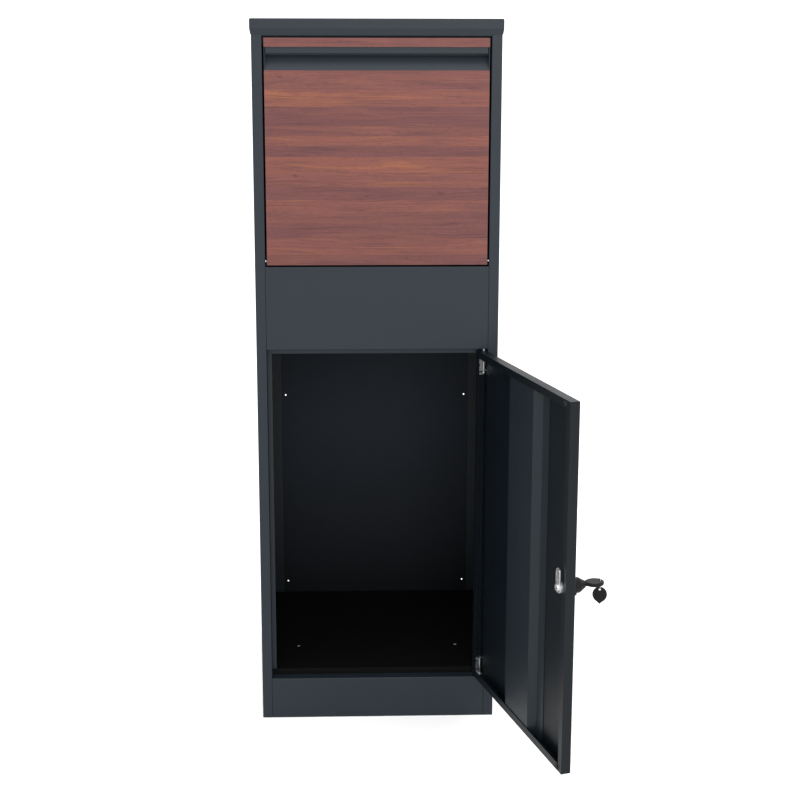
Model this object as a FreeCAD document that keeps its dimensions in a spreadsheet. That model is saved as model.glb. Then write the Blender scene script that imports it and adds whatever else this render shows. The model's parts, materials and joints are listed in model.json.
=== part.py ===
"""Free-standing parcel drop box: a folded sheet-steel cabinet with a tilting drop hopper at the top, a
fixed fascia, and a hinged retrieval door with a keyed cam lock below. Millimetres, +Z up, front towards -Y,
and the origin at floor level in the middle of the base. The door is drawn standing open, the hopper shut."""

import FreeCAD, Part
import os
import re
import Sketcher

Vector, Rotation, Placement = FreeCAD.Vector, FreeCAD.Rotation, FreeCAD.Placement

# ---------------------------------------------------------------- driving dimensions, all in the sheet
SIZES = {
    # the carcass
    "width": 410, "depth": 380, "height": 1221, "gauge": 1.2, "bend": 1.6, "fit_gap": 0.15,
    "stile_width": 17.5, "stile_return": 18, "rear_flange": 20, "foot_flange": 20,
    "cap_overhang": 2.4, "cap_drop": 25.5, "cap_bevel": 9.5, "cap_corner": 3,
    "rail_bottom": 1193, "rail_lip_bottom": 1180, "rail_return": 20,
    "fascia_bottom": 671, "fascia_top": 813.4, "fascia_return": 12, "fascia_lip": 14,
    "kick_height": 74, "kick_foot": 25, "floor_level": 85, "floor_skirt": 20, "door_stop_lap": 7.1,
    "head_stop": 10,
    # holes for fixing the cabinet to a wall and to the ground
    "wall_hole_inset": 28.5, "wall_hole_low": 108, "wall_hole_high": 497, "wall_hole_radius": 1.6,
    "anchor_spacing_x": 290, "anchor_spacing_y": 150, "anchor_radius": 3,
    # the hopper
    "flap_width": 369, "flap_bottom": 816.4, "flap_top": 1190, "flap_return": 17.8, "flap_lip": 12,
    "film": 0.8, "recess_bottom": 1138.3, "recess_top": 1175.5, "recess_bend": 1162, "recess_depth": 18.5,
    "grip_bottom": 1164.2, "grip_inset": 1.5, "grip_setback": 2, "grip_hem": 2, "grip_tongue": 14,
    "pivot_depth": 6, "pivot_level": 822.5, "pivot_radius": 2, "pivot_clearance": 0.06,
    "scoop_length": 240, "scoop_angle": 32, "scoop_lip": 12, "cheek_radius": 250, "cheek_low": 35,
    "cheek_high": 60, "cheek_web": 28, "peg_orbit": 235, "peg_radius": 5, "peg_angle": 30, "peg_length": 10,
    "tilt": 45, "stop_pad_radius": 8, "stop_pad_height": 10, "baffle_front": 262, "baffle_low": 906,
    "baffle_high": 1011, "baffle_lip": 16, "baffle_flange": 28,
    # the door
    "door_side_gap": 2, "door_bottom_gap": 2, "door_top_gap": 3, "door_thickness": 16.4, "door_lip": 12,
    "door_open": 107, "hinge_radius": 1.9, "hinge_clearance": 0.08,
    "hat_offset": 134, "hat_width": 90, "hat_slant": 9, "hat_foot": 24, "hat_gauge": 1,
    "bracket_height": 33, "bracket_reach": 9, "bracket_gauge": 1.3, "bracket_rivet": 2,
    "spring_gap": 0.25, "spring_wire": 0.6, "buffer_radius": 4, "buffer_inset": 15.5,
    # the lock and its keys
    "lock_inset": 18.5, "lock_level": 375, "barrel_radius": 9, "plug_radius": 6, "plug_clearance": 0.08,
    "cam_plane": 19.8, "cam_gauge": 2, "cam_reach": 27, "cam_width": 15, "nut_flats": 24, "nut_height": 4,
    "bezel_width": 27, "bezel_height": 25, "bezel_height_out": 4.5,
    "hood_reach": 23.5, "hood_straight": 13, "hood_radius": 12, "hood_tip_radius": 5.8, "hood_bore": 4.3,
    "key_blade_width": 7, "key_blade_gauge": 1.8, "key_blade_length": 46,
    "bow_length": 30, "bow_width": 26, "bow_gauge": 6, "bow_hole": 2.6, "bow_start": 25.5,
    "bow_hole_inset": 5, "ring_radius": 12.5, "ring_wire": 0.5, "ring_turn": 25, "ring_hang": 17,
    "tag_length": 24, "tag_width": 22.5, "tag_gauge": 3, "tag_hole": 1.9, "tag_hole_inset": 4.2,
    "tag_point": 3.4,
}

# Lengths that follow from the sheet: every level and edge that more than one piece is placed by.
DERIVED = {
    "front": "-depth / 2",
    "back": "depth / 2",
    "half": "width / 2",
    "inner": "half - stile_width",
    "body_top": "height - gauge",
    "stop_plane": "front + stile_return",
    "hinge_inset": "hinge_radius + 2 * spring_gap + spring_wire + gauge",
    "spring_radius": "hinge_radius + spring_gap + spring_wire / 2",
    "door_low": "kick_height + door_bottom_gap",
    "door_high": "fascia_bottom - door_top_gap",
    "door_right": "hinge_inset",
    "door_left": "hinge_inset - 2 * (inner - door_side_gap)",
    "door_face": "-hinge_inset",
    "door_back": "door_thickness - hinge_inset",
    "hinge_x": "inner - door_side_gap - hinge_inset",
    "hinge_y": "front + hinge_inset",
    "flap_half": "flap_width / 2",
    "flap_face": "front + film",
    "flap_inner": "flap_half - gauge",
    "pivot_y": "front + pivot_depth",
    "lock_x": "door_left + lock_inset",
    "bow_hole_y": "door_face - bow_start - bow_length + bow_hole_inset",
}

doc = FreeCAD.newDocument("parcel_drop_box")
sheet = doc.addObject("Spreadsheet::Sheet", "Sizes")
for row, (alias, size) in enumerate(SIZES.items(), start=1):
    sheet.set(f"A{row}", alias)
    sheet.set(f"B{row}", str(size))
    sheet.setAlias(f"B{row}", alias)
doc.recompute()


# ---------------------------------------------------------------- helpers
def formula(text):
    """Writes a formula in plain words, such as 'front + gauge', in the sheet's cells."""

    def word(match):
        name = match.group(0)
        if name in DERIVED:
            return "(" + formula(DERIVED[name]) + ")"
        return "Sizes." + name if name in SIZES else name

    return re.sub(r"[A-Za-z_]\w*", word, str(text))


def value(text):
    """The number that a formula comes to."""
    found = sheet.evalExpression(formula(text))
    return float(getattr(found, "Value", found))


def bind(item, **formulas):
    """Ties properties of an object to formulas. Base_x stands for Placement.Base.x."""
    for name, text in formulas.items():
        item.setExpression(name.replace("Base_", "Placement.Base."), formula(text))
    return item


def box(x, y, z):
    """A block between (low, high) pairs along X, Y and Z."""
    block = doc.addObject("Part::Box", "block")
    for (low, high), side, axis in zip((x, y, z), ("Length", "Width", "Height"), "xyz"):
        bind(block, **{side: f"({high}) - ({low})", "Base_" + axis: low})
    return block


TURNED = {"x": Rotation(Vector(0, 1, 0), 90), "y": Rotation(Vector(1, 0, 0), -90), "z": Rotation()}


def rod(axis, low, high, radius, **centre):
    """A cylinder along an axis from low to high, with its centre line at the other two coordinates."""
    cylinder = doc.addObject("Part::Cylinder", "rod")
    cylinder.Placement = Placement(Vector(), TURNED[axis])
    bind(cylinder, Radius=radius, Height=f"({high}) - ({low})", **{"Base_" + axis: low})
    return bind(cylinder, **{"Base_" + other: text for other, text in centre.items()})


def join(*pieces):
    """One solid from pieces that touch or overlap."""
    joined = doc.addObject("Part::MultiFuse", "join")
    joined.Shapes = list(pieces)
    joined.Refine = True
    return joined


def group(*pieces):
    """Several separate solids in one node."""
    grouped = doc.addObject("Part::Compound", "group")
    grouped.Links = list(pieces)
    return grouped


def cut(base, *tools):
    """The base with every tool taken away."""
    result = doc.addObject("Part::Cut", "cut")
    result.Base = base
    result.Tool = tools[0] if len(tools) == 1 else group(*tools)
    return result


def common(base, tool):
    """What two solids share."""
    result = doc.addObject("Part::Common", "common")
    result.Base = base
    result.Tool = tool
    return result


def mirrored(piece):
    """The same piece for the other side of the cabinet."""
    other = doc.addObject("Part::Mirroring", "mirrored")
    other.Source = piece
    other.Normal = Vector(1, 0, 0)
    return other


def rounded(piece, radius, keep):
    """A fillet along every straight edge for which keep(middle, direction) is true."""
    doc.recompute()
    chosen = []
    for number, edge in enumerate(piece.Shape.Edges, start=1):
        if isinstance(edge.Curve, Part.Line):
            middle = edge.valueAt((edge.FirstParameter + edge.LastParameter) / 2)
            if keep(middle, edge.Curve.Direction):
                chosen.append((number, value(radius), value(radius)))
    fillet = doc.addObject("Part::Fillet", "rounded")
    fillet.Base = piece
    fillet.Edges = chosen
    return fillet


PLANES = {"x": "YZ_Plane", "z": "XY_Plane"}


def folded(axis, outline, low, high):
    """A section through corner points (pairs of formulas), carried along an axis from low to high."""
    body = doc.addObject("PartDesign::Body", "folded")
    sketch = body.newObject("Sketcher::SketchObject", "outline")
    plane = next(p for p in body.Origin.OriginFeatures if p.Role == PLANES[axis])
    sketch.AttachmentSupport = [(plane, "")]
    sketch.MapMode = "FlatFace"
    sketch.setExpression("AttachmentOffset.Base.z", formula(low))
    corners = [Vector(value(u), value(v), 0) for u, v in outline]
    for start, end in zip(corners, corners[1:] + corners[:1]):
        sketch.addGeometry(Part.LineSegment(start, end), False)
    for number in range(len(outline)):
        follower = (number + 1) % len(outline)
        sketch.addConstraint(Sketcher.Constraint("Coincident", number, 2, follower, 1))
    for number, corner in enumerate(outline):
        for kind, text in zip(("DistanceX", "DistanceY"), corner):
            limit = sketch.addConstraint(Sketcher.Constraint(kind, -1, 1, number, 1, value(text)))
            sketch.setExpression(f"Constraints[{limit}]", formula(text))
    pad = body.newObject("PartDesign::Pad", "pad")
    pad.Profile = sketch
    pad.setExpression("Length", formula(f"({high}) - ({low})"))
    return body


NODES = []


def node(name, piece, on_door=False):
    """Names a finished sub-part. One on the door is drawn about the hinge line, then hung and opened."""
    if on_door:
        piece = group(piece)
        piece.Placement = Placement(Vector(), Rotation(Vector(0, 0, 1), value("door_open")))
        piece.setExpression("Placement.Rotation.Angle", formula("door_open"))
        bind(piece, Base_x="hinge_x", Base_y="hinge_y")
    piece.Label = name
    NODES.append(piece)
    return piece


def along(direction, axis):
    """Whether an edge runs along a coordinate axis."""
    return abs(getattr(direction, axis)) > 0.999


def near(a, text):
    """Whether a coordinate is at a formula's value."""
    return abs(a - value(text)) < 0.05


# ---------------------------------------------------------------- cabinet: sides, back, floor
def side_panel():
    """Left side: one sheet folded into the wall, the front stile with its return, and the flange behind."""
    wall = box(("-half", "-half + gauge"), ("front", "back"), ("0", "body_top"))
    stile = box(("-half", "-inner"), ("front", "front + gauge"), ("0", "body_top"))
    stile_return = box(("-inner - gauge", "-inner"), ("front", "stop_plane"), ("0", "body_top"))
    rear = box(("-half", "-half + rear_flange"), ("back - 2 * gauge", "back - gauge"), ("0", "body_top"))
    sheet_metal = join(wall, stile, stile_return, rear)

    def is_stile_edge(middle, direction):
        on_edge = near(middle.x, "-half") or near(middle.x, "-inner")
        return along(direction, "z") and near(middle.y, "front") and on_edge

    soft = rounded(sheet_metal, "bend", is_stile_edge)
    pin_hole = rod("x", "-inner - 2 * gauge", "-inner + gauge", "pivot_radius", y="pivot_y", z="pivot_level")
    return cut(soft, pin_hole)


left_side = node("left_side_panel", side_panel())
node("right_side_panel", mirrored(left_side))

back_half = "half - gauge - fit_gap"
back_sheet = box((f"-({back_half})", back_half), ("back - gauge", "back"), ("0", "body_top"))
wall_holes = [
    rod("y", "back - 2 * gauge", "back + gauge", "wall_hole_radius", x=x, z=z)
    for x in ("wall_hole_inset - half", "half - wall_hole_inset")
    for z in ("wall_hole_low", "wall_hole_high")
]
node("back_panel", cut(back_sheet, *wall_holes))

# A flat ring that the cabinet stands on, welded inside the sides behind the kick plate's foot.
ring_x = ("gauge - half", "half - gauge")
ring_y = ("front + kick_foot", "back - 2 * gauge")
ring_plate = box(ring_x, ring_y, ("0", "gauge"))
ring_window = box(
    (f"{ring_x[0]} + foot_flange", f"{ring_x[1]} - foot_flange"),
    (f"{ring_y[0]} + foot_flange", f"{ring_y[1]} - foot_flange"),
    ("-gauge", "2 * gauge"),
)
node("base_frame", cut(ring_plate, ring_window))

# The raised floor: a tray whose front turns down to make the door's lower stop.
floor_back = "back - 2 * gauge - fit_gap"
floor_across = (f"-({back_half})", back_half)
floor_plate = box(floor_across, ("stop_plane", floor_back), ("floor_level - gauge", "floor_level"))
floor_stop = box(("-inner", "inner"), ("stop_plane", "stop_plane + gauge"), ("kick_height", "floor_level"))
skirt = ("floor_level - floor_skirt", "floor_level")
skirt_run = ("stop_plane + kick_foot", "back - kick_foot")
floor_left = box((f"-({back_half})", f"gauge - ({back_half})"), skirt_run, skirt)
floor_right = box((f"{back_half} - gauge", back_half), skirt_run, skirt)
rear_run = (f"-({back_half}) + rear_flange", f"{back_half} - rear_flange")
floor_rear = box(rear_run, (f"{floor_back} - gauge", floor_back), skirt)
anchor_holes = [
    rod("z", "floor_level - 2 * gauge", "floor_level + gauge", "anchor_radius", x=x, y=y)
    for x in ("-anchor_spacing_x / 2", "anchor_spacing_x / 2")
    for y in ("-anchor_spacing_y / 2", "anchor_spacing_y / 2")
]
floor_tray = join(floor_plate, floor_stop, floor_left, floor_right, floor_rear)
node("floor_panel", cut(floor_tray, *anchor_holes))


# ---------------------------------------------------------------- cabinet: front
def front_edge(*levels):
    """Picks the long outside bends of a front panel at the given levels."""

    def keep(middle, direction):
        on_level = any(near(middle.z, level) for level in levels)
        return along(direction, "x") and near(middle.y, "front") and on_level

    return keep


span = ("-inner", "inner")
kick_face = box(span, ("front", "front + gauge"), ("0", "kick_height"))
kick_ledge = box(span, ("front", "stop_plane"), ("kick_height - gauge", "kick_height"))
kick_foot = box(span, ("front", "front + kick_foot"), ("0", "gauge"))
kick = rounded(join(kick_face, kick_ledge, kick_foot), "bend", front_edge("kick_height"))
pin_fit = "hinge_radius + hinge_clearance"
kick_hole = rod("z", "kick_height - 2 * gauge", "kick_height + gauge", pin_fit, x="hinge_x", y="hinge_y")
node("kick_plate", cut(kick, kick_hole))

fascia_face = box(span, ("front", "front + gauge"), ("fascia_bottom", "fascia_top"))
fascia_under = box(span, ("front", "stop_plane + gauge"), ("fascia_bottom", "fascia_bottom + gauge"))
head_levels = ("fascia_bottom - head_stop", "fascia_bottom + gauge")
fascia_stop = box(span, ("stop_plane", "stop_plane + gauge"), head_levels)
fascia_over = box(span, ("front", "front + fascia_return"), ("fascia_top - gauge", "fascia_top"))
fascia_hem = ("front + fascia_return - gauge", "front + fascia_return")
fascia_lip = box(span, fascia_hem, ("fascia_top - fascia_lip", "fascia_top"))
fascia = join(fascia_face, fascia_under, fascia_stop, fascia_over, fascia_lip)
fascia = rounded(fascia, "bend", front_edge("fascia_bottom", "fascia_top"))
head_hole = rod("z", "fascia_bottom - gauge", "fascia_bottom + 2 * gauge", pin_fit, x="hinge_x", y="hinge_y")
node("fascia_panel", cut(fascia, head_hole))

rail_face = box(span, ("front", "front + gauge"), ("rail_bottom", "body_top"))
rail_under = box(span, ("front", "front + rail_return + gauge"), ("rail_bottom", "rail_bottom + gauge"))
rail_levels = ("rail_lip_bottom", "rail_bottom + gauge")
rail_lip = box(span, ("front + rail_return", "front + rail_return + gauge"), rail_levels)
rail_over = box(span, ("front", "front + rail_return"), ("body_top - gauge", "body_top"))
rail = join(rail_face, rail_under, rail_lip, rail_over)
node("top_rail", rounded(rail, "bend", front_edge("rail_bottom")))


def door_stop():
    """Left jamb strip: an angle behind the stile, whose face the door closes against."""
    lap = ("-inner - 2 * gauge", "door_stop_lap - inner")
    levels = ("floor_level + fit_gap", "fascia_bottom - head_stop - fit_gap")
    face = box(lap, ("stop_plane", "stop_plane + gauge"), levels)
    leg_deep = ("stop_plane - rail_return / 2", "stop_plane")
    leg = box(("-inner - 2 * gauge", "-inner - gauge"), leg_deep, levels)
    return join(face, leg)


left_stop = node("left_door_stop", door_stop())
node("right_door_stop", mirrored(left_stop))


# ---------------------------------------------------------------- cabinet: roof cap
def frustum(low_level, high_level, low_spread, high_spread):
    """A block with leaning sides: low_spread past the cabinet at the bottom, high_spread at the top."""
    wedge = doc.addObject("Part::Wedge", "frustum")
    wedge.Placement = Placement(Vector(), Rotation(Vector(1, 0, 0), 90))
    bind(wedge, Ymin=0, Ymax=f"({high_level}) - ({low_level})", Base_z=low_level)
    bind(wedge, Xmin=f"-half - {low_spread}", Xmax=f"half + {low_spread}")
    bind(wedge, Zmin=f"front - {low_spread}", Zmax=f"back + {low_spread}")
    bind(wedge, X2min=f"-half - {high_spread}", X2max=f"half + {high_spread}")
    return bind(wedge, Z2min=f"front - {high_spread}", Z2max=f"back + {high_spread}")


bevel_top = "height - cap_drop + cap_bevel"
cap_skirt = frustum("height - cap_drop", bevel_top, "gauge / 2", "cap_overhang")
cap_width = ("-half - cap_overhang", "half + cap_overhang")
cap_top = box(cap_width, ("front - cap_overhang", "back + cap_overhang"), (bevel_top, "height"))
inside_x = ("-half - fit_gap", "half + fit_gap")
inside_y = ("front - fit_gap", "back + fit_gap")
cap_inside = box(inside_x, inside_y, ("height - cap_drop - gauge", "height - gauge"))


def is_cap_edge(middle, direction):
    return near(middle.z, "height") or (along(direction, "z") and middle.z > value(bevel_top))


cap = rounded(join(cap_skirt, cap_top), "cap_overhang - fit_gap", is_cap_edge)
node("roof_cap", cut(cap, cap_inside))

# ---------------------------------------------------------------- cabinet: guard behind the hopper
# A sloping plate on the back panel that keeps a hand from reaching down past the open hopper.
guard_rise = "gauge * 1.36"
guard = folded(
    "x",
    [
        ("back - gauge", "baffle_high"),
        ("back - gauge", "baffle_high + baffle_flange"),
        ("back - 2 * gauge", "baffle_high + baffle_flange"),
        ("back - 2 * gauge", f"baffle_high + {guard_rise}"),
        ("front + baffle_front", f"baffle_low + {guard_rise}"),
        ("front + baffle_front", "baffle_low - baffle_lip"),
        ("front + baffle_front + gauge", "baffle_low - baffle_lip"),
        ("front + baffle_front + gauge", "baffle_low"),
    ],
    "rear_flange + gauge - half",
    "half - rear_flange - gauge",
)
node("rear_guard", guard)

# ---------------------------------------------------------------- hopper
# The front pan: one sheet folded from the bottom return, up the face, into the recess and over the top.
pan_rear = "front + flap_return"
recess_rear = "front + recess_depth"
hopper_pan = folded(
    "x",
    [
        ("front + 2 * pivot_depth + gauge", "flap_bottom"),
        ("flap_face", "flap_bottom"),
        ("flap_face", "recess_bottom"),
        (recess_rear, "recess_bend"),
        (recess_rear, "recess_top"),
        ("flap_face", "recess_top"),
        ("flap_face", "flap_top"),
        (pan_rear, "flap_top"),
        (pan_rear, "flap_top - flap_lip"),
        (f"{pan_rear} - gauge", "flap_top - flap_lip"),
        (f"{pan_rear} - gauge", "flap_top - gauge"),
        ("flap_face + gauge", "flap_top - gauge"),
        ("flap_face + gauge", "recess_top + gauge"),
        (f"{recess_rear} + gauge", "recess_top + gauge"),
        (f"{recess_rear} + gauge", "recess_bend - gauge / 2"),
        ("flap_face + gauge", "recess_bottom - gauge / 2"),
        ("flap_face + gauge", "flap_bottom + gauge"),
        ("front + 2 * pivot_depth + gauge", "flap_bottom + gauge"),
    ],
    "-flap_inner",
    "flap_inner",
)
node("hopper_pan", hopper_pan)

film_across = ("-flap_half", "flap_half")
node("wood_panel", box(film_across, ("front", "flap_face"), ("flap_bottom", "recess_bottom - film / 2")))
node("wood_strip", box(film_across, ("front", "flap_face"), ("recess_top", "flap_top")))

# The grip: a tongue welded under the strip, and an apron that hangs from it down to a rolled hem.
grip_x = ("grip_inset - flap_inner", "flap_inner - grip_inset")
grip_front = "front + grip_setback"
tongue = box(grip_x, (grip_front, f"{grip_front} + grip_tongue"), ("recess_top - gauge", "recess_top"))
apron_z = ("grip_bottom + grip_hem", "recess_top - gauge")
apron = box(grip_x, (grip_front, f"{grip_front} + gauge"), apron_z)
hem = rod("x", *grip_x, "grip_hem", y=f"{grip_front} + grip_hem", z="grip_bottom + grip_hem")
node("grip_tongue", tongue)
node("grip_lip", join(apron, hem))

scoop_fold = "front + 2 * pivot_depth + 2 * gauge"
scoop_end_y = f"{scoop_fold} + scoop_length * cos(scoop_angle)"
scoop_start_z = "flap_bottom + 2 * gauge"
scoop_end_z = f"{scoop_start_z} - scoop_length * sin(scoop_angle)"
scoop = folded(
    "x",
    [
        ("flap_face + 2 * gauge", "flap_bottom + gauge"),
        ("flap_face + 2 * gauge", scoop_start_z),
        (scoop_fold, scoop_start_z),
        (scoop_end_y, scoop_end_z),
        (scoop_end_y, f"{scoop_end_z} - scoop_lip"),
        (f"{scoop_end_y} - gauge", f"{scoop_end_z} - scoop_lip"),
        (f"{scoop_end_y} - gauge", f"{scoop_end_z} - gauge * 0.55"),
        (f"{scoop_fold} - gauge * 0.3", f"{scoop_start_z} - gauge"),
    ],
    "-flap_inner",
    "flap_inner",
)
node("hopper_scoop", scoop)


at_pivot = {"y": "pivot_y", "z": "pivot_level"}


def cheek():
    """Left end plate of the hopper: a strip behind the flap's end and a quadrant that guards the side."""
    plate = ("-flap_half", "-flap_inner")
    strip = folded(
        "x",
        [
            ("flap_face", "flap_bottom"),
            ("flap_face", "flap_top"),
            (pan_rear, "flap_top"),
            (pan_rear, "flap_top - flap_lip"),
            ("front + cheek_web", "flap_top - flap_lip - 4 * gauge"),
            ("front + cheek_web", "pivot_level"),
            ("front + 2 * pivot_depth", "flap_bottom"),
        ],
        *plate,
    )
    fan = rod("x", *plate, "cheek_radius", **at_pivot)
    fan.setExpression("Angle", formula("cheek_low + cheek_high"))
    fan.Placement.Rotation = TURNED["x"].multiply(Rotation(Vector(0, 0, 1), 90 - value("cheek_low")))
    lean = "peg_angle"
    peg_y = f"pivot_y + peg_orbit * cos({lean})"
    peg_z = f"pivot_level - peg_orbit * sin({lean})"
    peg = rod("x", "-flap_half - peg_length", "-flap_half", "peg_radius", y=peg_y, z=peg_z)
    seat_ends = ("-flap_half - gauge", "-flap_inner + gauge")
    bush_seat = rod("x", *seat_ends, "pivot_radius + 2", **at_pivot)
    return cut(join(strip, fan, peg), bush_seat)


left_cheek = node("left_hopper_cheek", cheek())
node("right_hopper_cheek", mirrored(left_cheek))


def pivot_bush():
    """Left flanged bush, pressed into the cheek from outside."""
    sleeve = rod("x", "-flap_half", "-flap_inner", "pivot_radius + 2", **at_pivot)
    collar = rod("x", "-flap_half - gauge", "-flap_half", "pivot_radius + 3", **at_pivot)
    bore_ends = ("-flap_half - 3 * gauge", "-flap_inner + gauge")
    bore = rod("x", *bore_ends, "pivot_radius + pivot_clearance", **at_pivot)
    return cut(join(sleeve, collar), bore)


left_bush = pivot_bush()
node("hopper_bushes", group(left_bush, mirrored(left_bush)))


def pivot_pin():
    """Left hopper pin: riveted in the stile's return, with a small retaining head inside the cheek."""
    head_start = "-flap_inner + 2 * fit_gap"
    shank = rod("x", "-inner - 2 * gauge", head_start, "pivot_radius", **at_pivot)
    rivet = rod("x", "-inner - 3 * gauge", "-inner - gauge", "pivot_radius + 2", **at_pivot)
    head = rod("x", head_start, f"{head_start} + gauge", "pivot_radius + 0.8", **at_pivot)
    return join(shank, rivet, head)


left_pin = pivot_pin()
node("hopper_pivot_pins", group(left_pin, mirrored(left_pin)))

# Rubber pads on the rail's lip take the flap's top edge when it falls shut.
pad_deep = ("front + flap_return + 2 * fit_gap", "front + rail_return")
shut_pads = [
    rod("y", *pad_deep, "buffer_radius", x=x, z="flap_top - flap_lip / 2")
    for x in ("-width / 4", "width / 4")
]
node("hopper_shut_pads", group(*shut_pads))

# The open stop: the cheek's peg swings up under a rubber pad held by an angle on the side panel.
swung = "(tilt - peg_angle)"
stop_y = f"pivot_y + peg_orbit * cos({swung})"
stop_z = f"pivot_level + peg_orbit * sin({swung}) + peg_radius + 3 * fit_gap"
stop_x = "-flap_half - peg_length / 2 - 2 * fit_gap"
stop_pad = rod("z", stop_z, f"{stop_z} + stop_pad_height", "stop_pad_radius", x=stop_x, y=stop_y)
pad_across = ("gauge - half", "-flap_half - 2 * fit_gap")
stop_pad = common(stop_pad, box(pad_across, ("front", "back"), ("0", "height")))
node("hopper_open_pads", group(stop_pad, mirrored(stop_pad)))
shelf_z = f"{stop_z} + stop_pad_height"
shelf_y = (f"{stop_y} - stop_pad_radius", f"{stop_y} + stop_pad_radius")
shelf = box(pad_across, shelf_y, (shelf_z, f"{shelf_z} + 2 * gauge"))
upright_z = (shelf_z, f"{shelf_z} + 2 * stop_pad_height")
upright = box(("gauge - half", "3 * gauge - half"), shelf_y, upright_z)
stop_angle = join(shelf, upright)
node("hopper_stop_angles", group(stop_angle, mirrored(stop_angle)))

# ---------------------------------------------------------------- door
# The door is drawn about its hinge line: X from the free edge to the hinge edge, Y from the face inwards.
door_x, door_y, door_z = ("door_left", "door_right"), ("door_face", "door_back"), ("door_low", "door_high")
door_block = box(door_x, door_y, door_z)


def is_door_edge(middle, direction):
    return near(middle.y, "door_face")


door_block = rounded(door_block, "bend", is_door_edge)
hollow = box(
    ("door_left + gauge", "door_right - gauge"),
    ("door_face + gauge", "door_back - gauge"),
    ("door_low + gauge", "door_high - gauge"),
)
mouth = box(
    ("door_left + door_lip", "door_right - door_lip"),
    ("door_back - 2 * gauge", "door_back + gauge"),
    ("door_low + door_lip", "door_high - door_lip"),
)
lock_hole = rod("y", "door_face - gauge", "door_back + gauge", "barrel_radius", x="lock_x", z="lock_level")
top_hole = rod("z", "door_high - 2 * gauge", "door_high + gauge", pin_fit, x="0", y="0")
low_hole = rod("z", "door_low - gauge", "door_low + 2 * gauge", "hinge_radius", x="0", y="0")
buffer_x = "door_left + buffer_inset"
buffer_levels = ("door_low + door_lip / 2", "door_high - door_lip / 2")
stem_y = ("door_back - 2 * gauge", "door_back + gauge")
stem_holes = [rod("y", *stem_y, "buffer_radius / 2", x=buffer_x, z=level) for level in buffer_levels]
door_pan = cut(door_block, hollow, mouth, lock_hole, top_hole, low_hole, *stem_holes)
node("door_pan", door_pan, on_door=True)

# The stiffener: a hat channel the full height of the pan, with its feet on the back of the door's skin.
skin = "door_face + gauge"
hat_left = "door_left + hat_offset"
crown_left, crown_right = hat_left, f"{hat_left} + hat_width"
crown = "door_back - gauge - fit_gap"
hat = folded(
    "z",
    [
        (f"{crown_left} - hat_slant - hat_foot", skin),
        (f"{crown_left} - hat_slant + hat_gauge", skin),
        (f"{crown_left} + hat_gauge", f"{crown} - hat_gauge"),
        (f"{crown_right} - hat_gauge", f"{crown} - hat_gauge"),
        (f"{crown_right} + hat_slant - hat_gauge", skin),
        (f"{crown_right} + hat_slant + hat_foot", skin),
        (f"{crown_right} + hat_slant + hat_foot", f"{skin} + hat_gauge"),
        (f"{crown_right} + hat_slant", f"{skin} + hat_gauge"),
        (crown_right, crown),
        (crown_left, crown),
        (f"{crown_left} - hat_slant", f"{skin} + hat_gauge"),
        (f"{crown_left} - hat_slant - hat_foot", f"{skin} + hat_gauge"),
    ],
    "door_low + gauge + fit_gap",
    "door_high - gauge - fit_gap",
)
node("door_stiffener", hat, on_door=True)

buffers = []
for level in buffer_levels:
    button = rod("y", "door_back", "door_back + gauge", "buffer_radius", x=buffer_x, z=level)
    stem = rod("y", "door_back - 2 * gauge", "door_back", "buffer_radius / 2", x=buffer_x, z=level)
    buffers.append(join(button, stem))
node("door_buffers", group(*buffers), on_door=True)


def hinge_bracket(low, high):
    """A zinc-plated channel riveted to the inside of the hinge edge, with an ear at each end for the pin."""
    web_x = ("door_right - gauge - bracket_gauge", "door_right - gauge")
    reach = ("-bracket_reach / 2", "door_right - gauge")
    web = box(web_x, ("hinge_radius + 2 * fit_gap", "door_back - 1.5 * gauge"), (low, high))
    deep = ("door_face + gauge", "door_back - 1.5 * gauge")
    ear_levels = ((low, f"{low} + bracket_gauge"), (f"{high} - bracket_gauge", high))
    ears = [box(reach, deep, levels) for levels in ear_levels]
    hole = rod("z", f"{low} - gauge", f"{high} + gauge", pin_fit, x="0", y="0")
    rivet_ends = ("door_right - 2 * bracket_gauge - gauge", "door_right")
    rivets = [
        rod("x", *rivet_ends, "bracket_rivet", y="door_back / 2 + bracket_rivet / 2", z=z)
        for z in (f"{low} + bracket_height / 4", f"{high} - bracket_height / 4")
    ]
    return cut(join(web, *ears), hole, *rivets)


top_bracket = ("door_high - gauge - bracket_height - fit_gap", "door_high - gauge - fit_gap")
low_bracket = ("door_low + gauge + fit_gap", "door_low + gauge + bracket_height + fit_gap")
node("top_hinge_bracket", hinge_bracket(*top_bracket), on_door=True)
node("bottom_hinge_bracket", hinge_bracket(*low_bracket), on_door=True)

# The top pin slides: the spring pushes up a collar under the upper ear, and the bent tail is pulled by hand.
tail_level = f"{top_bracket[0]} - 3 * hinge_radius"
pin_top = "fascia_bottom + gauge"
shaft = rod("z", tail_level, pin_top, "hinge_radius", x="0", y="0")
elbow = doc.addObject("Part::Sphere", "elbow")
bind(elbow, Radius="hinge_radius", Base_z=tail_level)
tail = rod("y", "0", "door_back - gauge - 2 * fit_gap", "hinge_radius", x="0", z=tail_level)
collar_top = f"{top_bracket[1]} - bracket_gauge - 2 * fit_gap"
collar = rod("z", f"{collar_top} - gauge", collar_top, "hinge_inset - gauge - 2 * fit_gap", x="0", y="0")
node("top_hinge_pin", join(shaft, elbow, tail, collar), on_door=True)

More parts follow.
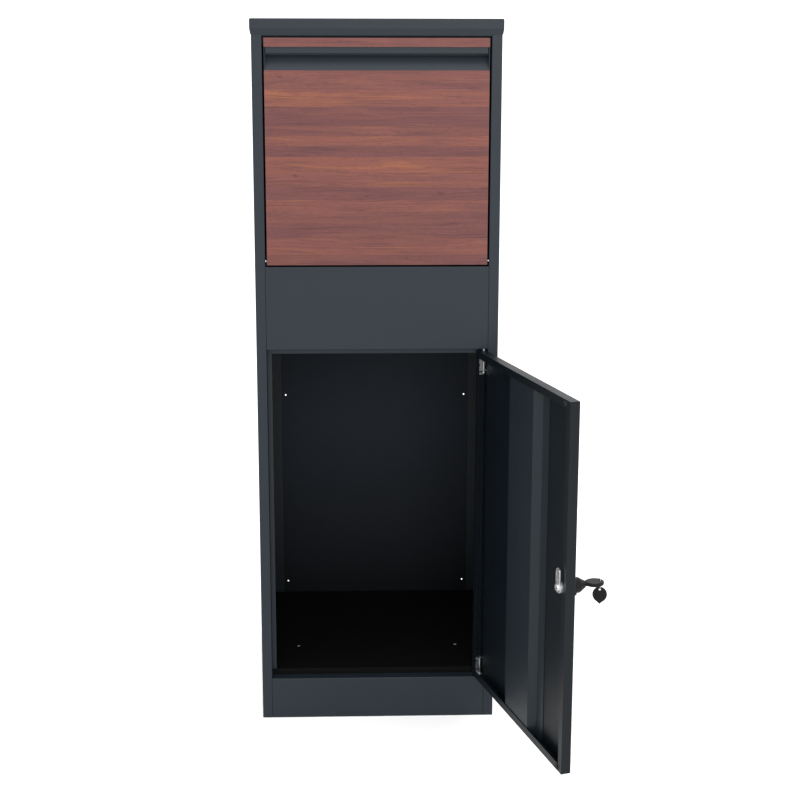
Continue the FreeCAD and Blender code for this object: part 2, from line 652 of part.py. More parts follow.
spring_low = f"{top_bracket[0]} + bracket_gauge + spring_wire"
spring_high = f"{collar_top} - gauge - spring_wire - fit_gap"
coil = doc.addObject("Part::Helix", "coil")
bind(coil, Radius="spring_radius", Height=f"({spring_high}) - ({spring_low})")
bind(coil, Pitch="3 * spring_wire", Base_z=spring_low)
wire = doc.addObject("Part::Circle", "wire")
wire.Placement = Placement(Vector(), Rotation(Vector(1, 0, 0), 90))
bind(wire, Radius="spring_wire / 2", Base_x="spring_radius", Base_z=spring_low)
doc.recompute()
spring = doc.addObject("Part::Sweep", "spring")
spring.Sections = [wire]
spring.Spine = (coil, ["Edge" + str(n + 1) for n in range(len(coil.Shape.Edges))])
spring.Solid = True
spring.Frenet = True
node("hinge_pin_spring", spring, on_door=True)

pin_foot = "kick_height - gauge - fit_gap"
low_pin = rod("z", pin_foot, f"{low_bracket[1]} + fit_gap", "hinge_radius", x="0", y="0")
node("bottom_hinge_pin", low_pin, on_door=True)

# ---------------------------------------------------------------- lock
at_lock = {"x": "lock_x", "z": "lock_level"}
barrel_end = "cam_plane - 2 * fit_gap - hinge_inset"
nose = "door_face - bezel_height_out"
barrel = rod("y", nose, barrel_end, "barrel_radius", **at_lock)
plug_bore = rod("y", f"{nose} - gauge", f"{barrel_end} + gauge", "plug_radius + plug_clearance", **at_lock)
node("lock_barrel", cut(barrel, plug_bore), on_door=True)

nut = doc.addObject("Part::Prism", "nut")
nut.Polygon = 6
nut.Placement = Placement(Vector(), TURNED["y"])
bind(nut, Circumradius="nut_flats / sqrt(3)", Height="nut_height")
bind(nut, Base_x="lock_x", Base_y=skin, Base_z="lock_level")
nut_hole = rod("y", "door_face", f"{skin} + 2 * nut_height", "barrel_radius", **at_lock)
node("lock_nut", cut(nut, nut_hole), on_door=True)

plug_end = f"{barrel_end} + cam_gauge + 2 * fit_gap"
rotor = rod("y", f"{nose} + gauge / 2", barrel_end, "plug_radius", **at_lock)
square = box(
    ("lock_x - plug_radius / 2", "lock_x + plug_radius / 2"),
    (barrel_end, plug_end),
    ("lock_level - plug_radius / 2", "lock_level + plug_radius / 2"),
)
keyway = box(
    ("lock_x - key_blade_width / 2 - 2 * fit_gap", "lock_x + key_blade_width / 2 + 2 * fit_gap"),
    (f"{nose} - gauge", f"{barrel_end} - gauge"),
    ("lock_level - key_blade_gauge / 2 - 2 * fit_gap", "lock_level + key_blade_gauge / 2 + 2 * fit_gap"),
)
node("lock_plug", cut(join(rotor, square), keyway), on_door=True)

cam_y = (f"{barrel_end} + 2 * fit_gap", plug_end)
cam_root = rod("y", *cam_y, "cam_width / 2", **at_lock)
cam_across = ("lock_x - cam_width * 0.42", "lock_x + cam_width * 0.42")
cam_arm = box(cam_across, cam_y, ("lock_level", "lock_level + cam_reach - cam_width / 8"))
cam_tip = rod("y", *cam_y, "cam_width * 0.42", x="lock_x", z="lock_level + cam_reach - cam_width / 8")
square_hole = box(
    ("lock_x - plug_radius / 2", "lock_x + plug_radius / 2"),
    (barrel_end, f"{plug_end} + gauge"),
    ("lock_level - plug_radius / 2", "lock_level + plug_radius / 2"),
)
node("lock_cam", cut(join(cam_root, cam_arm, cam_tip), square_hole), on_door=True)

screw_head = rod("y", plug_end, f"{plug_end} + 2 * gauge", "plug_radius * 0.75", **at_lock)
slot = box(
    ("lock_x - plug_radius", "lock_x + plug_radius"),
    (f"{plug_end} + gauge", f"{plug_end} + 3 * gauge"),
    ("lock_level - gauge / 2", "lock_level + gauge / 2"),
)
node("cam_screw", cut(screw_head, slot), on_door=True)

# The black surround on the outside, and the tapering hood that shields the keyway from rain.
bezel_x = ("lock_x - bezel_width / 2", "lock_x + bezel_width / 2")
bezel_z = ("lock_level - bezel_height / 2", "lock_level + bezel_height / 2")
surround = box(bezel_x, (nose, "door_face"), bezel_z)


def is_bezel_corner(middle, direction):
    return along(direction, "y")


surround = rounded(surround, "bezel_height / 5", is_bezel_corner)
barrel_seat = rod("y", f"{nose} - gauge", "door_face + gauge", "barrel_radius", **at_lock)
node("lock_bezel", cut(surround, barrel_seat), on_door=True)

hood_tip = "door_face - hood_reach"
hood_bend = "door_face - hood_straight"
hood_root = rod("y", hood_bend, nose, "hood_radius", **at_lock)
hood_cone = doc.addObject("Part::Cone", "cone")
hood_cone.Placement = Placement(Vector(), TURNED["y"])
bind(hood_cone, Radius1="hood_tip_radius", Radius2="hood_radius", Height=f"({hood_bend}) - ({hood_tip})")
bind(hood_cone, Base_x="lock_x", Base_y=hood_tip, Base_z="lock_level")
hood_bore = rod("y", f"{hood_tip} - gauge", f"{nose} + gauge", "hood_bore", **at_lock)
node("lock_hood", cut(join(hood_root, hood_cone), hood_bore), on_door=True)


# ---------------------------------------------------------------- key, ring and tag
def oval(length, width, gauge, turn, **centre):
    """A thick plastic oval with softened rims, turned so that its long axis lies as needed."""
    outline = doc.addObject("Part::Ellipse", "outline")
    bind(outline, MajorRadius=f"{length} / 2", MinorRadius=f"{width} / 2")
    disc = doc.addObject("Part::Extrusion", "disc")
    disc.Base = outline
    disc.Solid = True
    disc.Symmetric = True
    disc.Dir = Vector(0, 0, 1)
    bind(disc, LengthFwd=gauge)
    doc.recompute()
    rims = [n for n, edge in enumerate(disc.Shape.Edges, start=1) if not isinstance(edge.Curve, Part.Line)]
    soft = doc.addObject("Part::Fillet", "soft")
    soft.Base = disc
    soft.Edges = [(n, value(f"{gauge} / 3"), value(f"{gauge} / 3")) for n in rims]
    soft.Placement = Placement(Vector(), turn)
    return bind(soft, **{"Base_" + axis: text for axis, text in centre.items()})


half_wide, half_thick = "key_blade_width / 2", "key_blade_gauge / 2"
bow_near = "door_face - bow_start"
blade_root = "(bow_start + bow_length / 4)"
key_blade = box(
    (f"lock_x - {half_wide}", f"lock_x + {half_wide}"),
    (f"door_face - {blade_root}", f"door_face - {blade_root} + key_blade_length"),
    (f"lock_level - {half_thick}", f"lock_level + {half_thick}"),
)
node("key_blade", key_blade, on_door=True)

# The bow lies level: an oval that narrows to a shoulder where the blade leaves it.
bow_through = ("lock_level - bow_gauge", "lock_level + bow_gauge")
bow_bore = rod("z", *bow_through, "bow_hole", x="lock_x", y="bow_hole_y")
shoulder_deep, shoulder_thick = "bow_length / 6", "bow_gauge / 3"
shoulder = folded(
    "z",
    [
        ("lock_x - key_blade_width * 0.6", f"{bow_near} + gauge"),
        ("lock_x - bow_width * 0.38", f"{bow_near} - {shoulder_deep}"),
        ("lock_x + bow_width * 0.38", f"{bow_near} - {shoulder_deep}"),
        ("lock_x + key_blade_width * 0.6", f"{bow_near} + gauge"),
    ],
    f"lock_level - {shoulder_thick}",
    f"lock_level + {shoulder_thick}",
)
bow_centre = {"x": "lock_x", "y": "door_face - bow_start - bow_length / 2", "z": "lock_level"}
level_turn = Rotation(Vector(0, 0, 1), 90)
bow = oval("bow_length", "bow_width", "bow_gauge", level_turn, **bow_centre)
node("key_bow", cut(join(bow, shoulder), bow_bore, key_blade), on_door=True)


def hung(piece):
    """Turns what hangs from the bow's hole about the hole's upright axis."""
    turned = group(piece)
    turned.Placement = Placement(Vector(), Rotation(Vector(0, 0, -1), value("ring_turn")))
    turned.setExpression("Placement.Rotation.Angle", formula("ring_turn"))
    return bind(turned, Base_x="lock_x", Base_y="bow_hole_y")


# The split ring leans down from the hole, and the tag hangs from its lowest point.
ring_x, ring_z = "ring_radius * cos(ring_hang)", "lock_level - ring_radius * sin(ring_hang)"
ring = doc.addObject("Part::Torus", "ring")
ring.Placement = Placement(Vector(), Rotation(Vector(1, 0, 0), 90))
bind(ring, Radius1="ring_radius", Radius2="ring_wire", Base_x=ring_x, Base_z=ring_z)
node("key_ring", hung(ring), on_door=True)

tag_hole_z = f"{ring_z} - ring_radius - tag_hole + ring_wire + 4 * fit_gap"
tag_centre_z = f"{tag_hole_z} + tag_hole_inset - tag_length / 2"
tag_low = f"{tag_centre_z} - tag_length / 2"
tag_reach = (f"{ring_x} - tag_gauge", f"{ring_x} + tag_gauge")
upright_turn = Rotation(Vector(0, 1, 0), -90)
tag_oval = oval("tag_length", "tag_width", "tag_gauge", upright_turn, x=ring_x, z=tag_centre_z)
tag_foot = folded(
    "x",
    [
        ("-tag_width * 0.36", f"{tag_low} + tag_length * 0.14"),
        ("0", f"{tag_low} - tag_point"),
        ("tag_width * 0.36", f"{tag_low} + tag_length * 0.14"),
    ],
    f"{ring_x} - tag_gauge / 3",
    f"{ring_x} + tag_gauge / 3",
)
tag_bore = rod("x", *tag_reach, "tag_hole", y="0", z=tag_hole_z)
node("key_tag", hung(cut(join(tag_oval, tag_foot), tag_bore)), on_door=True)

# ---------------------------------------------------------------- trim
# Blind rivets hold the back panel to the flanges of the sides.
rivets = []
for x in ("rear_flange / 2 - half", "half - rear_flange / 2"):
    for share in (0.05, 0.27, 0.49, 0.71, 0.93):
        level = f"height * {share}"
        rivets.append(rod("y", "back", "back + gauge", "2.5 * gauge", x=x, z=level))
node("back_rivets", group(*rivets))

# ---------------------------------------------------------------- check and export
doc.recompute()
for item in doc.Objects:
    if "Invalid" in item.State or "Error" in item.State:
        raise RuntimeError(f"{item.Label} did not compute")
os.makedirs("parts", exist_ok=True)
for piece in NODES:
    if piece.Shape.isNull() or not piece.Shape.isValid():
        raise RuntimeError(f"{piece.Label} has no valid shape")
    piece.Shape.exportStep(f"parts/{piece.Label}.step")
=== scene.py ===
"""A parcel drop box in folded, powder-coated steel, with a walnut-film hopper and its door standing open."""

import json
import math
import bpy
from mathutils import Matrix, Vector


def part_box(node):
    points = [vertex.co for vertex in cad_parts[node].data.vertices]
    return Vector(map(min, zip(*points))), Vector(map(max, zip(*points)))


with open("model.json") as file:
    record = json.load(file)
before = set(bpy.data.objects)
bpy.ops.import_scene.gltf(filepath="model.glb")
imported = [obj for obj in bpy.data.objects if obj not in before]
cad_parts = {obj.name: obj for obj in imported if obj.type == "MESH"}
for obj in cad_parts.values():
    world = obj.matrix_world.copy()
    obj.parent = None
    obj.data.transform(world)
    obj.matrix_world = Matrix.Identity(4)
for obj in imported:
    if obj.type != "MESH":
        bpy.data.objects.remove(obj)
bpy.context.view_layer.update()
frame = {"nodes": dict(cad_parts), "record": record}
cad = frame["nodes"]
scene = bpy.context.scene

# --------------------------------------------------------------------------------------------------------
# The cabinet's shell. Cold-rolled sheet, folded, spot welded and powder coated in anthracite. The coat is a
# fine orange peel: a soft ripple under a finer grain, with sheen that drifts slightly from place to place.


def socket(group, name, kind, value=None, out=False):
    """Adds a named socket to a shader node group: an input, or an output when out is set."""
    made = group.interface.new_socket(name, in_out="OUTPUT" if out else "INPUT", socket_type=kind)
    if value is not None:
        made.default_value = value


def node(tree, kind, inputs=(), **settings):
    """A shader node with its settings, and its inputs set to a value or linked from an output."""
    made = tree.nodes.new(kind)
    for name, setting in settings.items():
        setattr(made, name, setting)
    for name, source in dict(inputs).items():
        if isinstance(source, bpy.types.NodeSocket):
            tree.links.new(source, made.inputs[name])
        else:
            made.inputs[name].default_value = source
    return made


def noise(tree, at, scale, detail, rough=0.5):
    """Fractal noise from 0 to 1: scale is in cells per metre, each octave rough times the one before."""
    inputs = {"Vector": at, "Scale": scale, "Detail": detail, "Roughness": rough}
    return node(tree, "ShaderNodeTexNoise", inputs).outputs["Fac"]


def maths(tree, operation, a, b=0.0, c=0.0):
    """One step of arithmetic on values: MULTIPLY_ADD is a times b plus c."""
    return node(tree, "ShaderNodeMath", {0: a, 1: b, 2: c}, operation=operation).outputs[0]


def remap(tree, value, low, high, to_low, to_high):
    """A straight line from (low, to_low) to (high, to_high), held level past its ends."""
    inputs = {"Value": value, "From Min": low, "From Max": high, "To Min": to_low, "To Max": to_high}
    return node(tree, "ShaderNodeMapRange", inputs).outputs["Result"]


def mix(tree, factor, a, b):
    """Colour a where factor is 0, colour b where it is 1, and their weighted mean between."""
    made = node(tree, "ShaderNodeMix", data_type="RGBA")
    for number, source in ((0, factor), (6, a), (7, b)):
        if isinstance(source, bpy.types.NodeSocket):
            tree.links.new(source, made.inputs[number])
        else:
            made.inputs[number].default_value = source
    return made.outputs[2]


def peel_group():
    """Orange peel: height is a ripple plus a share of fine grain, and drift is a very coarse noise."""
    group = bpy.data.node_groups.new("orange_peel", "ShaderNodeTree")
    socket(group, "Vector", "NodeSocketVector")
    socket(group, "Ripple", "NodeSocketFloat", 900.0)
    socket(group, "Height", "NodeSocketFloat", out=True)
    socket(group, "Drift", "NodeSocketFloat", out=True)
    start = group.nodes.new("NodeGroupInput")
    end = group.nodes.new("NodeGroupOutput")
    ripple = noise(group, start.outputs["Vector"], start.outputs["Ripple"], 2.0, 0.45)
    fine_scale = maths(group, "MULTIPLY", start.outputs["Ripple"], 3.1)
    fine = noise(group, start.outputs["Vector"], fine_scale, 1.0, 0.5)
    group.links.new(maths(group, "MULTIPLY_ADD", fine, 0.35, ripple), end.inputs["Height"])
    group.links.new(noise(group, start.outputs["Vector"], 5.5, 4.0, 0.55), end.inputs["Drift"])
    return group


PEEL = peel_group()


def material(name):
    """An empty material with its shader, and the object coordinates that its patterns read."""
    made = bpy.data.materials.new(name)
    made.use_nodes = True
    tree = made.node_tree
    shader = tree.nodes["Principled BSDF"]
    place = tree.nodes.new("ShaderNodeTexCoord").outputs["Object"]
    return made, tree, shader, place


TINT_DRIFT, SHEEN_DRIFT, PEEL_DEPTH = 0.12, 0.035, 0.00012


def powder_coat(name, colour, roughness, gloss, painted_shade_by_height=None):
    """Powder coat: a base colour that drifts by TINT_DRIFT each way, with orange peel in its bump.
    The optional (low, high, share) is painted shade by height: below low the colour is times share, and it
    is full from high up."""
    made, tree, shader, place = material(name)
    peel = node(tree, "ShaderNodeGroup", node_tree=PEEL)
    tree.links.new(place, peel.inputs["Vector"])
    drift = peel.outputs["Drift"]
    darker = [c * (1 - TINT_DRIFT) for c in colour] + [1.0]
    lighter = [c * (1 + TINT_DRIFT) for c in colour] + [1.0]
    shade = mix(tree, drift, darker, lighter)
    if painted_shade_by_height:
        # Painted shade: the colour darkens towards the bottom of the part.
        level = node(tree, "ShaderNodeSeparateXYZ", {"Vector": place}).outputs["Z"]
        full = remap(tree, level, painted_shade_by_height[0], painted_shade_by_height[1], 0.0, 1.0)
        shade = mix(tree, full, [c * painted_shade_by_height[2] for c in colour] + [1.0], shade)
    tree.links.new(shade, shader.inputs["Base Color"])
    shader.inputs["Specular IOR Level"].default_value = gloss
    sheen = remap(tree, drift, 0.3, 0.7, roughness - SHEEN_DRIFT, roughness + SHEEN_DRIFT)
    tree.links.new(sheen, shader.inputs["Roughness"])
    relief = {"Height": peel.outputs["Height"], "Distance": PEEL_DEPTH, "Strength": 0.5}
    bumped = node(tree, "ShaderNodeBump", relief)
    tree.links.new(bumped.outputs["Normal"], shader.inputs["Normal"])
    return made


def finish(paint, *names):
    """Puts a material on CAD nodes."""
    for name in names:
        slots = cad[name].data.materials
        slots.clear()
        slots.append(paint)


ANTHRACITE, ANTHRACITE_ROUGHNESS, ANTHRACITE_GLOSS = (0.0086, 0.0132, 0.0182), 0.44, 0.215
coat = powder_coat("anthracite_coat", ANTHRACITE, ANTHRACITE_ROUGHNESS, ANTHRACITE_GLOSS)
finish(coat, "kick_plate", "fascia_panel", "top_rail", "roof_cap")

# --------------------------------------------------------------------------------------------------------
# The side sheets, each folded at the front into a stile with a return. Behind that return their inner faces
# get a darker colour, painted shade for the dark inside of the cabinet: the mask is 1 inside the middle of
# the sheet and behind the end of the return.
side_low, side_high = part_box("right_side_panel")
HALF_SHEET, STILE_RETURN = 0.0006, 0.0185
SIDE_PAINTED_SHADE = (0.0046, 0.0062, 0.0088, 1.0)
side_coat = powder_coat("side_coat", ANTHRACITE, ANTHRACITE_ROUGHNESS, ANTHRACITE_GLOSS)
side_tree = side_coat.node_tree
side_shader = side_tree.nodes["Principled BSDF"]
side_place = side_tree.nodes["Texture Coordinate"].outputs["Object"]
side_axes = node(side_tree, "ShaderNodeSeparateXYZ", {"Vector": side_place})
sideways = maths(side_tree, "ABSOLUTE", side_axes.outputs["X"])
past_skin = maths(side_tree, "LESS_THAN", sideways, side_high.x - HALF_SHEET)
past_return = maths(side_tree, "GREATER_THAN", side_axes.outputs["Y"], side_low.y + STILE_RETURN)
# Painted shade: the mask picks the inner faces behind the stile's return, which get the darker colour.
side_shade_mask = maths(side_tree, "MULTIPLY", past_skin, past_return)
outer_shade = side_shader.inputs["Base Color"].links[0].from_socket
side_tree.links.new(mix(side_tree, side_shade_mask, outer_shade, SIDE_PAINTED_SHADE), side_shader.inputs["Base Color"])
finish(side_coat, "left_side_panel", "right_side_panel")

# --------------------------------------------------------------------------------------------------------
# The inside of the cabinet: back panel, raised floor, base ring, jamb strips and the hopper's rear guard.
# Painted shade for the dark inside: the back, guard, rivets and stop angles get a darker, less glossy copy
# of the shell's coat, darker still towards the floor, and the raised floor and base ring a darker, duller
# one still. The jamb strips keep the shell's coat.
inner_coat_painted_shade = powder_coat("inner_coat_painted_shade", (0.0088, 0.0122, 0.0178), 0.58, 0.11, painted_shade_by_height=(0.10, 0.45, 0.25))
# Painted shade: a still darker, duller coat for the raised floor and base ring.
floor_coat_painted_shade = powder_coat("floor_coat_painted_shade", (0.0030, 0.0029, 0.0029), 0.62, 0.05)
finish(inner_coat_painted_shade, "back_panel", "rear_guard", "back_rivets", "hopper_stop_angles")
finish(floor_coat_painted_shade, "floor_panel", "base_frame")
finish(coat, "left_door_stop", "right_door_stop")

# --------------------------------------------------------------------------------------------------------
# The hopper's folded pan, end cheeks, scoop and grip, in the shell's sheet and coat. The pan's coat is a
# shade paler than the shell's, painted light so that the recess under the grip, where the pan shows, is not
# lost in shade.
pan_coat_painted_light = powder_coat("pan_coat_painted_light", (0.0165, 0.0225, 0.0285), 0.50, 0.22)
finish(pan_coat_painted_light, "hopper_pan")
finish(coat, "grip_lip", "grip_tongue", "hopper_scoop", "left_hopper_cheek", "right_hopper_cheek")

# --------------------------------------------------------------------------------------------------------
# The hopper's face: a walnut-printed film bonded to the pan. The print is butted strips laid across the
# width, each with its own tone and its own run of grain: long streaks, fine pores and a few dark flecks.


def walnut(name):
    """A stepped ramp over the height gives each strip a tone, a warmth and a seed. The seed shifts the grain
    so that no streak crosses a joint. Warmth mixes the base tint, and a mask lays each layer over it."""
    made, tree, shader, place = material(name)
    axes = node(tree, "ShaderNodeSeparateXYZ", {"Vector": place})
    across, level = axes.outputs["X"], axes.outputs["Z"]
    ramp = node(tree, "ShaderNodeValToRGB", {"Fac": remap(tree, level, STRIP_LOW, STRIP_HIGH, 0.0, 1.0)})
    ramp.color_ramp.interpolation = "CONSTANT"
    stops = ramp.color_ramp.elements
    while len(stops) > 1:
        stops.remove(stops[-1])
    for number, (edge, tone, warmth) in enumerate(STRIPS):
        stop = stops[0] if number == 0 else stops.new(edge)
        stop.position = edge
        stop.color = (tone, (number * 0.61803) % 1.0, warmth, 1.0)
    strip = node(tree, "ShaderNodeSeparateColor", {"Color": ramp.outputs["Color"]})
    tone, seed, warmth = (strip.outputs[name] for name in ("Red", "Green", "Blue"))
    shifted_x = maths(tree, "MULTIPLY_ADD", seed, 7.0, across)
    shifted_z = maths(tree, "MULTIPLY_ADD", seed, 3.0, level)
    slow = {"X": maths(tree, "MULTIPLY", shifted_x, 5.0), "Z": maths(tree, "MULTIPLY", shifted_z, 30.0)}
    slow_at = node(tree, "ShaderNodeCombineXYZ", slow).outputs["Vector"]
    sway = maths(tree, "SUBTRACT", noise(tree, slow_at, 1.0, 2.0), 0.5)

    def grain(along, over, warp, detail, rough):
        """Noise drawn out along the strip: along and over in cells per metre, swaying by warp metres."""
        x = maths(tree, "MULTIPLY", shifted_x, along)
        z = maths(tree, "MULTIPLY", maths(tree, "MULTIPLY_ADD", sway, warp, shifted_z), over)
        at = node(tree, "ShaderNodeCombineXYZ", {"X": x, "Y": 0.0, "Z": z}).outputs["Vector"]
        return noise(tree, at, 1.0, detail, rough)

    cloud = grain(9.0, 62.0, 0.012, 4.0, 0.62)
    flame = grain(3.6, 95.0, 0.040, 3.0, 0.50)
    streak = grain(7.0, 520.0, 0.012, 4.0, 0.60)
    line = grain(4.0, 900.0, 0.020, 2.0, 0.50)
    pores = grain(75.0, 2200.0, 0.006, 2.0, 0.50)
    knot = grain(26.0, 120.0, 0.020, 3.0, 0.55)
    masks = {
        "cloud": remap(tree, cloud, 0.48, 0.72, 0.0, 0.55),
        "flame": maths(tree, "MULTIPLY", remap(tree, flame, 0.52, 0.70, 0.0, 0.80), warmth),
        "dark_streak": remap(tree, streak, 0.50, 0.30, 0.0, 0.34),
        "pale_streak": remap(tree, streak, 0.55, 0.75, 0.0, 0.40),
        "line": remap(tree, line, 0.60, 0.68, 0.0, 0.60),
        "knot": remap(tree, knot, 0.64, 0.76, 0.0, 0.65),
        "pores": remap(tree, pores, 0.54, 0.72, 0.0, 0.55),
    }
    base = mix(tree, warmth, COOL_WALNUT, WARM_WALNUT)
    for layer, mask in masks.items():
        base = mix(tree, mask, base, WALNUT_LAYERS[layer])
    strip_value = remap(tree, tone, 0.0, 1.0, 0.5, 1.5)
    toned = node(tree, "ShaderNodeHueSaturation", {"Value": strip_value, "Color": base})
    tree.links.new(toned.outputs["Color"], shader.inputs["Base Color"])
    shader.inputs["Specular IOR Level"].default_value = FILM_GLOSS
    tree.links.new(remap(tree, pores, 0.3, 0.7, *FILM_ROUGHNESS), shader.inputs["Roughness"])
    height = maths(tree, "MULTIPLY_ADD", pores, -0.6, streak)
    bumped = node(tree, "ShaderNodeBump", {"Height": height, "Distance": FILM_RELIEF, "Strength": 0.35})
    tree.links.new(bumped.outputs["Normal"], shader.inputs["Normal"])
    return made


COOL_WALNUT, WARM_WALNUT = (0.104, 0.0365, 0.0360, 1.0), (0.138, 0.0450, 0.0325, 1.0)
WALNUT_LAYERS = {
    "cloud": (0.056, 0.0225, 0.0260, 1.0),
    "flame": (0.205, 0.0720, 0.0330, 1.0),
    "dark_streak": (0.040, 0.0150, 0.0160, 1.0),
    "pale_streak": (0.190, 0.0700, 0.0500, 1.0),
    "line": (0.028, 0.0110, 0.0125, 1.0),
    "knot": (0.030, 0.0130, 0.0150, 1.0),
    "pores": (0.034, 0.0130, 0.0135, 1.0),
}
FILM_GLOSS, FILM_ROUGHNESS, FILM_RELIEF = 0.20, (0.42, 0.54), 0.00006
STRIP_LOW, STRIP_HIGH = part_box("wood_panel")[0].z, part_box("wood_strip")[1].z
# Lower edge of each printed strip as a share of the face's height, its tone, and how warm it is.
STRIPS = [
    (0.000, 0.42, 0.25), (0.044, 0.54, 0.75), (0.082, 0.50, 0.55), (0.119, 0.46, 0.20), (0.189, 0.50, 0.35),
    (0.240, 0.53, 0.60), (0.290, 0.46, 0.15), (0.347, 0.53, 0.65), (0.381, 0.55, 0.55), (0.414, 0.56, 0.95),
    (0.484, 0.44, 0.15), (0.529, 0.57, 0.85), (0.571, 0.50, 0.40), (0.617, 0.44, 0.10), (0.660, 0.46, 0.20),
    (0.701, 0.55, 0.70), (0.735, 0.57, 0.75), (0.774, 0.53, 0.30), (0.820, 0.55, 0.40), (0.955, 0.52, 0.45),
]
film = walnut("walnut_film")
finish(film, "wood_panel", "wood_strip")

# --------------------------------------------------------------------------------------------------------
# The retrieval door: a folded pan with a hat-section stiffener, in the shell's coat. Its inner faces get a
# much darker colour, painted shade for the dark inside of the open door: the mask is 1 where a point,
# measured square to the door from the hinge line, lies further in than the middle of the door's skin.
door_swing = next(joint for joint in frame["record"]["behaviour"]["joints"] if joint["name"] == "door_swing")
door_open = math.radians(-door_swing["range_deg"][0])
SKIN_MIDDLE = -0.0036
DOOR_ANTHRACITE, DOOR_PAINTED_SHADE = (0.0074, 0.0116, 0.0162), (0.0016, 0.0034, 0.0054, 1.0)
door_coat = powder_coat("door_coat", DOOR_ANTHRACITE, ANTHRACITE_ROUGHNESS, 0.17)
door_tree = door_coat.node_tree
door_shader = door_tree.nodes["Principled BSDF"]
door_place = door_tree.nodes["Texture Coordinate"].outputs["Object"]
hinge_foot = (door_swing["pos_m"][0], door_swing["pos_m"][1], 0.0)
outwards = node(door_tree, "ShaderNodeVectorMath", {0: door_place, 1: hinge_foot}, operation="SUBTRACT")
inwards = (-math.sin(door_open), math.cos(door_open), 0.0)
across_door = {0: outwards.outputs[0], 1: inwards}
behind = node(door_tree, "ShaderNodeVectorMath", across_door, operation="DOT_PRODUCT")
# Painted shade: the mask picks the door's inner faces, which get the darker colour.
inside = maths(door_tree, "GREATER_THAN", behind.outputs["Value"], SKIN_MIDDLE)
door_shade = door_shader.inputs["Base Color"].links[0].from_socket
door_tree.links.new(mix(door_tree, inside, door_shade, DOOR_PAINTED_SHADE), door_shader.inputs["Base Color"])
hat_coat = powder_coat("stiffener_coat", (0.0078, 0.0118, 0.0158), 0.40, 0.20)
finish(door_coat, "door_pan")
finish(hat_coat, "door_stiffener")

# --------------------------------------------------------------------------------------------------------
# Bright parts: zinc-plated hinge brackets, pins, spring and lock barrel, the polished plug and cam, and the
# nickel-plated key blade and ring. Each is stamped, turned or wound, then plated.


def plated(name, colour, roughness, brush=260.0):
    """Plated steel: roughness varies with a noise of brush cells per metre, and tint with a coarser one."""
    made, tree, shader, place = material(name)
    shader.inputs["Metallic"].default_value = 1.0
    grain = noise(tree, place, brush, 4.0, 0.6)
    cloud = noise(tree, place, 60.0, 3.0, 0.5)
    dull = [c * 0.80 for c in colour] + [1.0]
    tree.links.new(mix(tree, cloud, dull, list(colour) + [1.0]), shader.inputs["Base Color"])
    sheen = remap(tree, grain, 0.3, 0.7, roughness - 0.06, roughness + 0.08)
    tree.links.new(sheen, shader.inputs["Roughness"])
    bumped = node(tree, "ShaderNodeBump", {"Height": grain, "Distance": 0.00008, "Strength": 0.25})
    tree.links.new(bumped.outputs["Normal"], shader.inputs["Normal"])
    return made


zinc = plated("bright_zinc", (0.70, 0.71, 0.73), 0.36)
chrome = plated("polished_cam", (0.86, 0.86, 0.87), 0.30, 180.0)
nickel = plated("key_nickel", (0.78, 0.77, 0.74), 0.22, 400.0)
finish(zinc, "top_hinge_bracket", "bottom_hinge_bracket", "top_hinge_pin", "bottom_hinge_pin")
finish(zinc, "hinge_pin_spring", "lock_barrel", "lock_nut", "cam_screw", "hopper_pivot_pins")
finish(chrome, "lock_plug", "lock_cam")
finish(nickel, "key_blade", "key_ring")

# --------------------------------------------------------------------------------------------------------
# Moulded parts: the lock's surround and hood, the key's bow and the tag in black plastic, the rubber pads
# and buffers, and the acetal bushes pressed into the hopper's cheeks.


def moulded(name, colour, roughness, grain=700.0, bump=0.00010):
    """Moulded plastic or rubber: spark-eroded grain in the bump, with a slight drift of tone."""
    made, tree, shader, place = material(name)
    shader.inputs["Specular IOR Level"].default_value = 0.12
    skin = noise(tree, place, grain, 3.0, 0.55)
    tone = noise(tree, place, 35.0, 2.0, 0.5)
    low, high = [c * 0.8 for c in colour] + [1.0], [c * 1.2 for c in colour] + [1.0]
    tree.links.new(mix(tree, tone, low, high), shader.inputs["Base Color"])
    sheen = remap(tree, skin, 0.3, 0.7, roughness - 0.05, roughness + 0.05)
    tree.links.new(sheen, shader.inputs["Roughness"])
    bumped = node(tree, "ShaderNodeBump", {"Height": skin, "Distance": bump, "Strength": 0.4})
    tree.links.new(bumped.outputs["Normal"], shader.inputs["Normal"])
    return made


plastic = moulded("black_plastic", (0.0040, 0.0040, 0.0043), 0.42)
rubber = moulded("black_rubber", (0.016, 0.016, 0.016), 0.72, 500.0, 0.00015)
acetal = moulded("black_acetal", (0.010, 0.010, 0.011), 0.35)
finish(plastic, "lock_bezel", "lock_hood", "key_bow", "key_tag")
finish(rubber, "hopper_shut_pads", "hopper_open_pads", "door_buffers")
finish(acetal, "hopper_bushes")

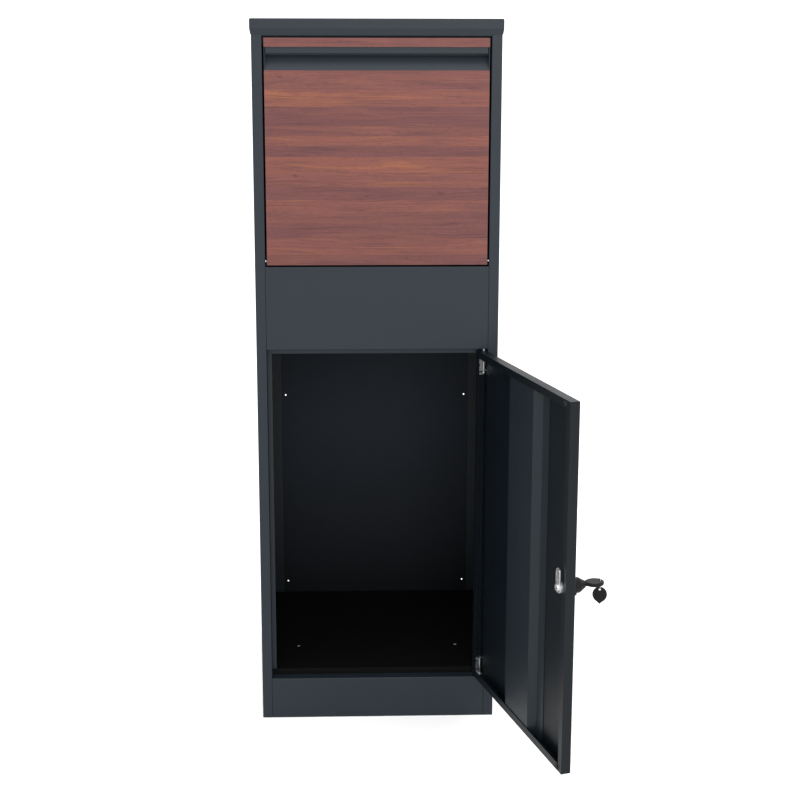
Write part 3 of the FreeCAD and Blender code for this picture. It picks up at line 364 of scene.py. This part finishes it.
# --------------------------------------------------------------------------------------------------------
# Floor, light and camera. A white sweep, an even white surround, one broad soft box in front and one above.
FLOOR_REACH, FLOOR_WHITE, FLOOR_GLOW = 30.0, (0.78, 0.78, 0.78, 1.0), 0.22
floor_mesh = bpy.data.meshes.new("floor")
floor_corners = [(x * FLOOR_REACH, y * FLOOR_REACH, 0) for x, y in ((-1, -1), (1, -1), (1, 1), (-1, 1))]
floor_mesh.from_pydata(floor_corners, [], [(0, 1, 2, 3)])
floor = bpy.data.objects.new("floor", floor_mesh)
scene.collection.objects.link(floor)
floor_paint, floor_tree, floor_shader, floor_place = material("white_sweep")
floor_shader.inputs["Base Color"].default_value = FLOOR_WHITE
floor_shader.inputs["Roughness"].default_value = 0.9
floor_shader.inputs["Emission Color"].default_value = (1.0, 1.0, 1.0, 1.0)
floor_shader.inputs["Emission Strength"].default_value = FLOOR_GLOW
floor_mesh.materials.append(floor_paint)

world = bpy.data.worlds.new("studio")
world.use_nodes = True
surround = world.node_tree.nodes["Background"]
surround.inputs["Color"].default_value = (1.0, 1.0, 1.0, 1.0)
surround.inputs["Strength"].default_value = 1.5
scene.world = world


def soft_box(name, place, target, width, height, power):
    """A rectangular area light at a place, facing a target: sizes in metres, power in watts."""
    lamp = bpy.data.lights.new(name, "AREA")
    lamp.shape = "RECTANGLE"
    lamp.size, lamp.size_y, lamp.energy = width, height, power
    holder = bpy.data.objects.new(name, lamp)
    scene.collection.objects.link(holder)
    holder.location = place
    holder.rotation_euler = (Vector(target) - Vector(place)).to_track_quat("-Z", "Y").to_euler()


soft_box("front_box", (0.9, -4.2, 2.2), (0.0, 0.0, 0.7), 3.0, 2.4, 90.0)
soft_box("top_box", (0.3, -0.4, 4.0), (0.0, 0.0, 0.6), 3.0, 3.0, 60.0)

scene.view_settings.view_transform = "Standard"
camera_data = bpy.data.cameras.new("camera")
camera_data.lens = 63.396
camera_data.shift_y = -0.1
camera_data.clip_end = 200.0
camera = bpy.data.objects.new("camera", camera_data)
scene.collection.objects.link(camera)
camera.location = (-0.0332, -2.5263, 1.1825)
camera_tilt, camera_roll, camera_turn = -11.14, -0.10, -1.73
camera.rotation_euler = [math.radians(angle) for angle in (90 + camera_tilt, camera_roll, camera_turn)]
scene.camera = camera
